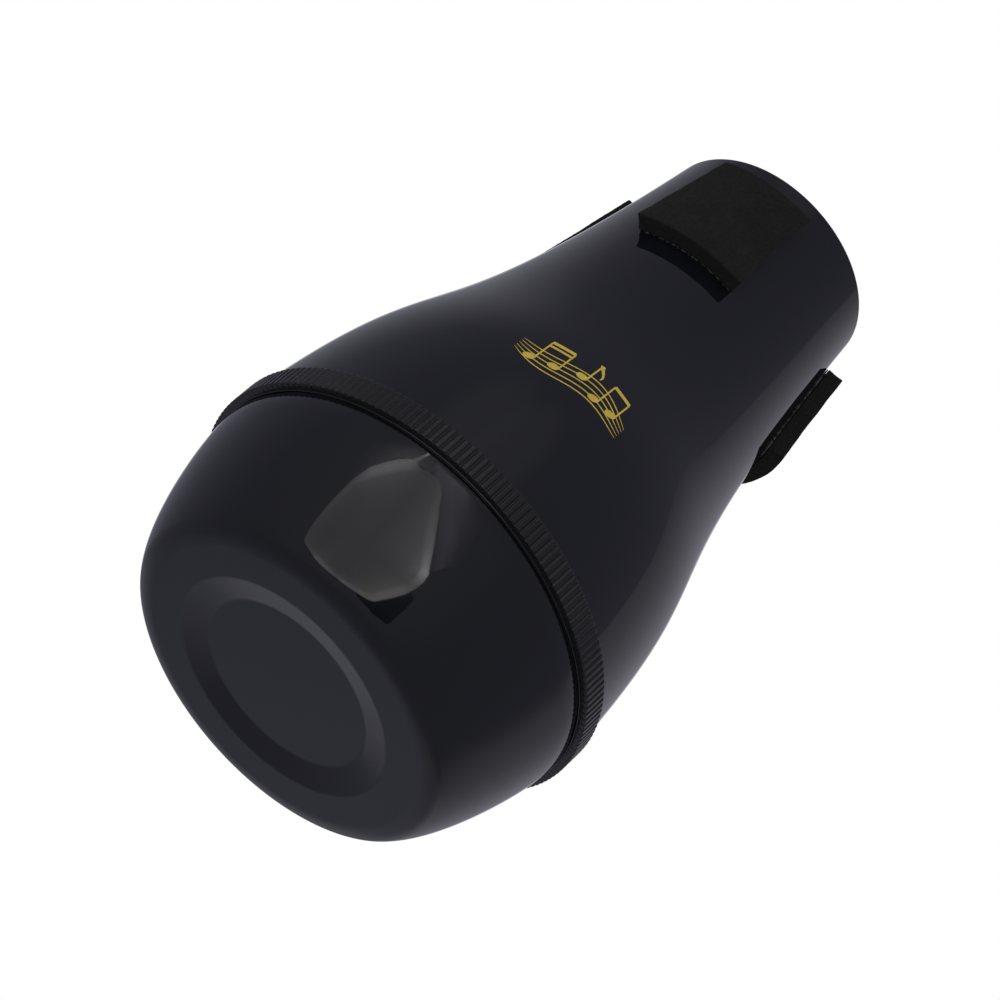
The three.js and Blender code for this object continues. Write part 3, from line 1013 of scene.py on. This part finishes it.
# Camera, at the photograph's viewing angle: it looks along +Y from below, and is rolled

CAMERA_PLACE = Vector((0.83, -625.03, -359.74)) * MM
CAMERA_LOOKS_UP = math.radians(34.04)
CAMERA_ROLL = math.radians(48.32)
CAMERA_LENS = 144
CAMERA_SENSOR = 36
CAMERA_CLIP = 0.01

forward = Vector((0, math.cos(CAMERA_LOOKS_UP), math.sin(CAMERA_LOOKS_UP)))
level_right = Vector((1, 0, 0))
level_up = level_right.cross(forward)
right = level_right * math.cos(CAMERA_ROLL) + level_up * math.sin(CAMERA_ROLL)
up = right.cross(forward)
camera_data = bpy.data.cameras.new("camera")
camera_data.lens = CAMERA_LENS
camera_data.sensor_width = CAMERA_SENSOR
camera_data.clip_start = CAMERA_CLIP
camera = bpy.data.objects.new("camera", camera_data)
axes = Matrix((right, up, -forward)).transposed()
camera.matrix_world = Matrix.Translation(CAMERA_PLACE) @ axes.to_4x4()
bpy.context.scene.collection.objects.link(camera)
bpy.context.scene.camera = camera


# Studio: a pale room with a softbox, seen only in the gloss, and a pale floor

def direction(azimuth, elevation):
    """A unit vector: azimuth from -Y towards +X, elevation above the horizon, both in degrees."""
    a, e = math.radians(azimuth), math.radians(elevation)
    return Vector((math.cos(e) * math.sin(a), -math.cos(e) * math.cos(a), math.sin(e)))


def stage_object(name, points, faces):
    """A mesh of the stage, from points in metres."""
    mesh = bpy.data.meshes.new(name)
    mesh.from_pydata(points, [], faces)
    piece = bpy.data.objects.new(name, mesh)
    bpy.context.scene.collection.objects.link(piece)
    return piece


def bare_material(name):
    """A material whose tree is empty, and the tree."""
    material = bpy.data.materials.new(name)
    material.use_nodes = True
    material.node_tree.nodes.clear()
    return material, material.node_tree


def glow_material():
    """Light from a card, as strong at each corner as its glow says. The glow's alpha is how far the
    card hides what lies behind it."""
    material, tree = bare_material("card_glow")
    glow = tree.nodes.new("ShaderNodeAttribute")
    glow.attribute_name = "glow"
    emission = add_node(tree, "ShaderNodeEmission", {"Color": glow.outputs["Color"]})
    covered = {0: 1.0, 1: glow.outputs["Alpha"]}
    uncovered = add_node(tree, "ShaderNodeMath", covered, operation="SUBTRACT")
    clear = add_node(tree, "ShaderNodeBsdfTransparent", {"Color": uncovered})
    both = add_node(tree, "ShaderNodeAddShader", {0: emission, 1: clear})
    set_inputs(tree, tree.nodes.new("ShaderNodeOutputMaterial"), {"Surface": both})
    return material


CARD_GLOW = glow_material()
CARD_DISTANCE = 3.0


def light_card(name, rows, ring=False, cover=0.0, distance=CARD_DISTANCE, tint=(1, 1, 1)):
    """A card from rows of (azimuth, elevation, glow), seen only in reflections. The rows lie side
    by side, or they are rings one inside the other."""
    count = len(rows[0])
    places = [place for row in rows for place in row]
    points = [direction(azimuth, elevation) * distance for azimuth, elevation, _ in places]
    faces = []
    for k in range(len(rows) - 1):
        for i in range(count if ring else count - 1):
            j = (i + 1) % count
            a, b = k * count, (k + 1) * count
            faces.append((a + i, b + i, b + j, a + j))
    card = stage_object(name, points, faces)
    layer = card.data.color_attributes.new("glow", "FLOAT_COLOR", "POINT")
    for item, (_, _, glow) in zip(layer.data, places):
        item.color = (*(glow * t for t in tint), cover)
    card.data.materials.append(CARD_GLOW)
    card.visible_camera = False
    card.visible_shadow = False
    card.visible_transmission = False
    return card


def moved_in(place, middle, reach, glow):
    """A place drawn towards the middle by some degrees, with its new glow."""
    across, rise = middle[0] - place[0], middle[1] - place[1]
    share = min(1.0, reach / math.hypot(across, rise))
    return (place[0] + across * share, place[1] + rise * share, glow)


# The softbox: each place on its rim with the glow and width of its bright edge, and the glow inside
SOFTBOX_MIDDLE = (-24.0, -9.0)
SOFTBOX_RIM = [
    (-50.5, 7.0, 1.0, 3.0, 0.78), (-48.5, 11.0, 1.7, 4.0, 0.84), (-43.5, 15.3, 1.95, 4.5, 0.88),
    (-38.5, 20.5, 1.8, 5.5, 0.9), (-35.5, 21.8, 1.3, 5.0, 0.88), (-32.0, 20.3, 0.75, 3.5, 0.84),
    (-28.0, 21.8, 0.7, 3.5, 0.82), (-23.4, 22.6, 0.88, 3.5, 0.84), (-18.8, 17.9, 1.0, 3.0, 0.88),
    (-13.5, 12.3, 1.22, 3.0, 0.9), (-7.3, 7.7, 1.45, 3.0, 0.95), (-1.6, 3.9, 1.8, 3.0, 1.05),
    (3.0, 0.6, 2.5, 3.2, 1.1), (6.0, -1.3, 3.4, 3.6, 1.1), (7.2, -3.8, 1.9, 3.6, 1.05),
    (7.0, -7.0, 1.2, 4.0, 0.95), (5.5, -11.0, 1.5, 4.5, 0.92), (3.0, -16.0, 1.5, 4.5, 0.9),
    (0.5, -21.0, 1.5, 4.5, 0.88), (-1.5, -26.0, 1.4, 4.5, 0.86), (-4.5, -29.2, 1.3, 4.5, 0.85),
    (-11.0, -32.2, 1.35, 4.0, 0.8), (-17.0, -34.2, 1.3, 4.0, 0.74), (-22.0, -35.4, 1.45, 3.5, 0.7),
    (-27.0, -35.6, 0.95, 4.0, 0.7), (-32.0, -35.5, 1.25, 4.0, 0.7), (-38.0, -34.2, 1.35, 4.5, 0.72),
    (-43.0, -31.2, 1.3, 4.5, 0.74), (-46.0, -27.5, 0.95, 3.0, 0.75), (-48.5, -25.0, 0.85, 2.5, 0.72),
    (-51.0, -23.0, 0.78, 2.5, 0.7), (-52.0, -19.0, 0.72, 2.5, 0.68), (-52.0, -10.0, 0.72, 2.5, 0.66),
    (-51.5, 0.0, 0.82, 3.0, 0.72),
]


def softbox_row(reach_of, glow_of):
    """The rim drawn in, with a reach from the edge's width and a glow from the edge and the inside."""
    return [
        moved_in((a, e), SOFTBOX_MIDDLE, reach_of(width), glow_of(band, inside))
        for a, e, band, width, inside in SOFTBOX_RIM
    ]


light_card(
    "softbox",
    [
        softbox_row(lambda width: 0.0, lambda band, inside: band * 0.85),
        softbox_row(lambda width: width * 0.4, lambda band, inside: band * 1.04),
        softbox_row(lambda width: width * 0.85, lambda band, inside: band * 0.96),
        softbox_row(lambda width: width + 1.2, lambda band, inside: inside + 0.22 * (band - inside)),
        softbox_row(lambda width: width + 7.0, lambda band, inside: inside * 0.93),
        softbox_row(lambda width: width + 14.0, lambda band, inside: 0.35 * inside + 0.43),
        softbox_row(lambda width: 90.0, lambda band, inside: 0.66),
    ],
    ring=True, cover=1.0, tint=(1.0, 0.998, 1.02),
)
light_card(
    "softbox_halo",
    [
        [(-51.5, 5, 0.0), (-49, 10.5, 0.2), (-44, 15.4, 0.4), (-39, 20.5, 0.5), (-35, 21.5, 0.42),
         (-27.6, 21, 0.25)],
        [(-55, 8, 0.0), (-52, 14, 0.1), (-46.5, 20, 0.22), (-41, 28, 0.36), (-35, 29, 0.28),
         (-28, 29, 0.18)],
        [(-59, 10, 0.0), (-56, 18, 0.0), (-50, 30, 0.0), (-45, 38, 0.02), (-36, 38, 0.07),
         (-29, 38, 0.07)],
    ],
)
light_card(
    "softbox_stub",
    [[(-41.0, 19.0, 0.0), (-38.5, 22.0, 0.2), (-37.8, 27.0, 0.3), (-37.9, 32.5, 0.4), (-38.6, 37.5, 1.4)],
     [(-37.4, 19.0, 0.2), (-36.8, 22.0, 0.9), (-36.8, 27.0, 1.2), (-37.0, 32.5, 1.4), (-37.8, 37.5, 2.6)],
     [(-34.8, 19.0, 0.0), (-34.8, 22.0, 0.2), (-35.6, 27.0, 0.3), (-36.2, 32.5, 0.4), (-37.1, 37.5, 1.4)]],
    distance=CARD_DISTANCE * 0.99,
)
# A pale wall above the softbox begins at a straight edge and fades to the right
light_card(
    "pale_wall",
    [
        [(-32, 36.5, 0.0), (-31, 32, 0.03), (-28.5, 23, 0.06), (-19, 17, 0.15), (-12, 9.2, 0.05),
         (-4, 4.6, 0.02), (5.5, -0.8, 0.02)],
        [(-28.5, 36.5, 0.15), (-27.8, 32, 0.48), (-25, 23, 0.48), (-18, 18.5, 0.46), (-10.2, 11, 0.34),
         (-2.5, 6.2, 0.28), (6.6, 0.6, 0.22)],
        [(-19.3, 36.5, 0.15), (-19, 33, 0.55), (-17.3, 27, 0.52), (-13, 19, 0.46), (-7, 13.2, 0.4),
         (-0.5, 8.2, 0.4), (7.6, 1.8, 0.26)],
        [(-13, 36.5, 0.15), (-12.6, 33, 0.5), (-10.7, 27, 0.46), (-7, 18.5, 0.34), (-3, 13.2, 0.28),
         (2, 9, 0.3), (8.6, 3, 0.14)],
        [(-7.5, 36.5, 0.03), (-8, 33, 0.12), (-5, 26, 0.16), (-1.5, 17.5, 0.14), (1.5, 13, 0.13),
         (5, 9, 0.1), (10, 4.5, 0.04)],
        [(0, 36.5, 0.0), (-1, 33, 0.0), (2, 25, 0.0), (6, 17.5, 0.0), (8.5, 12.5, 0.0), (10.5, 8, 0.0),
         (13, 5, 0.0)],
    ],
    tint=(1, 0.98, 1.05), distance=CARD_DISTANCE * 1.01,
)
# The softbox's lower right is warmer
light_card(
    "warm_edge",
    [
        [(7, -6, 0.1), (5.5, -11, 0.24), (3, -16, 0.24), (0.5, -21, 0.24), (-1.5, -26, 0.24),
         (-4.5, -29, 0.22), (-11, -32, 0.14)],
        [(2, -6.5, 0.03), (0.5, -10, 0.08), (-2, -14.5, 0.14), (-4.5, -19, 0.17), (-6.5, -23, 0.18),
         (-8.5, -25.5, 0.16), (-13, -28, 0.08)],
        [(-6, -7, 0.0), (-10, -11, 0.0), (-13, -14, 0.0), (-15, -17, 0.0), (-16, -20, 0.0),
         (-17, -23, 0.0), (-18, -26, 0.0)],
    ],
    tint=(1, 0.8, 0.25), distance=CARD_DISTANCE * 0.99,
)
light_card(
    "black_flag",
    [
        [(7.5, -8.5, 0.08), (5.7, -12, 0.07), (3.2, -17, 0.06), (0.7, -22, 0.05), (-1.6, -27, 0.04),
         (-6, -30.8, 0.04), (-13, -33.6, 0.06)],
        [(10.6, -9.5, 0.08), (11.5, -14, 0.06), (12.0, -20, 0.05), (12.5, -26, 0.03), (12.5, -31, 0.02),
         (3, -36, 0.01), (-9, -35.8, 0.04)],
    ],
    cover=1.0, distance=CARD_DISTANCE * 0.98, tint=(1, 1.05, 1.3),
)


def world_light():
    """A pale studio: white behind the object, a soft even light on dull surfaces, and for gloss a
    grey room that is brighter around the backdrop."""
    world = bpy.data.worlds.new("studio")
    bpy.context.scene.world = world
    world.use_nodes = True
    tree = world.node_tree
    tree.nodes.clear()
    toward = add_node(tree, "ShaderNodeTexCoord", {}, "Generated")

    def lobe(azimuth, elevation, inner, outer):
        """1 within inner degrees of a direction, 0 beyond outer."""
        sides = {0: toward, 1: direction(azimuth, elevation)}
        values = {
            "Value": add_node(tree, "ShaderNodeVectorMath", sides, "Value", operation="DOT_PRODUCT"),
            "From Min": math.cos(math.radians(outer)),
            "From Max": math.cos(math.radians(inner)),
        }
        return add_node(tree, "ShaderNodeMapRange", values, "Result", interpolation_type="SMOOTHSTEP")

    def raised(total, factor, colour):
        """The total with a colour added as far as the factor says."""
        part = add_node(tree, "ShaderNodeVectorMath", {0: colour, "Scale": factor}, operation="SCALE")
        return add_node(tree, "ShaderNodeVectorMath", {0: part, 1: total}, operation="ADD")

    def background(colour):
        return add_node(tree, "ShaderNodeBackground", {"Color": colour})

    def either(factor, off, on):
        return add_node(tree, "ShaderNodeMixShader", {"Fac": factor, 1: off, 2: on})

    # The side wall begins at an upright edge, crisp where the body mirrors it and soft below
    high_up = lobe(0, 90, 55, 66)
    edges = {"Factor": high_up, "A": lobe(183, 0, 78, 96), "B": lobe(183, 0, 86.8, 88.2)}
    wall = product(tree, add_node(tree, "ShaderNodeMix", edges), lobe(122, 20, 5, 50))
    # Brighter regions of the room: their middle, inner and outer reach, and colour
    regions = (
        (-24, -4, 15, 66, (0.075, 0.075, 0.08)),
        (-38, 43, 2, 15, (0.07, 0.07, 0.07)),
        (-14, 43, 2, 15, (0.08, 0.08, 0.08)),
        (-155, 62, 5, 34, (0.11, 0.11, 0.11)),
        (152, 52, 3, 34, (0.06, 0.057, 0.06)),
        (180, -35, 8, 22, (0.02, 0.017, 0.038)),
        (150, -24, 18, 34, (0.09, 0.09, 0.10)),
        (-176, -8, 8, 22, (0.09, 0.09, 0.095)),
        (180, math.degrees(CAMERA_LOOKS_UP), 4, 16, (0.35, 0.35, 0.35)),
    )
    light = raised((0.194, 0.195, 0.243), wall, (0.17, 0.162, 0.169))
    for azimuth, elevation, inner, outer, colour in regions:
        light = raised(light, lobe(azimuth, elevation, inner, outer), colour)

    path = tree.nodes.new("ShaderNodeLightPath").outputs
    seen = either(path["Is Diffuse Ray"], background(light), background((0.5, 0.5, 0.515, 1)))
    seen = either(path["Is Camera Ray"], seen, background((1, 1, 1, 1)))
    set_inputs(tree, tree.nodes.new("ShaderNodeOutputWorld"), {"Surface": seen})


world_light()


# The floor lies a hair below the foot, so that the two never share a plane
FLOOR_DROP = 0.2


def pale_floor():
    """A pale floor under the foot. The photograph's camera looks from below it, so it has one side."""
    half, level = 4.0, -FLOOR_DROP * MM
    corners = [(-half, -half, level), (half, -half, level), (half, half, level), (-half, half, level)]
    floor = stage_object("floor", corners, [(0, 1, 2, 3)])
    material, tree = bare_material("pale_floor")
    diffuse = add_node(tree, "ShaderNodeBsdfDiffuse", {"Color": (0.9, 0.9, 0.9, 1)})
    emission = add_node(tree, "ShaderNodeEmission", {"Color": (0.46, 0.46, 0.46, 1)})
    both = add_node(tree, "ShaderNodeAddShader", {0: diffuse, 1: emission})
    clear = add_node(tree, "ShaderNodeBsdfTransparent", {})
    from_below = add_node(tree, "ShaderNodeNewGeometry", {}, "Backfacing")
    choice = add_node(tree, "ShaderNodeMixShader", {"Fac": from_below, 1: both, 2: clear})
    set_inputs(tree, tree.nodes.new("ShaderNodeOutputMaterial"), {"Surface": choice})
    floor.data.materials.append(material)
    floor.visible_diffuse = False
    floor.visible_glossy = False
    floor.visible_transmission = False
    floor.visible_shadow = False


pale_floor()

bpy.context.scene.view_settings.view_transform = "Standard"
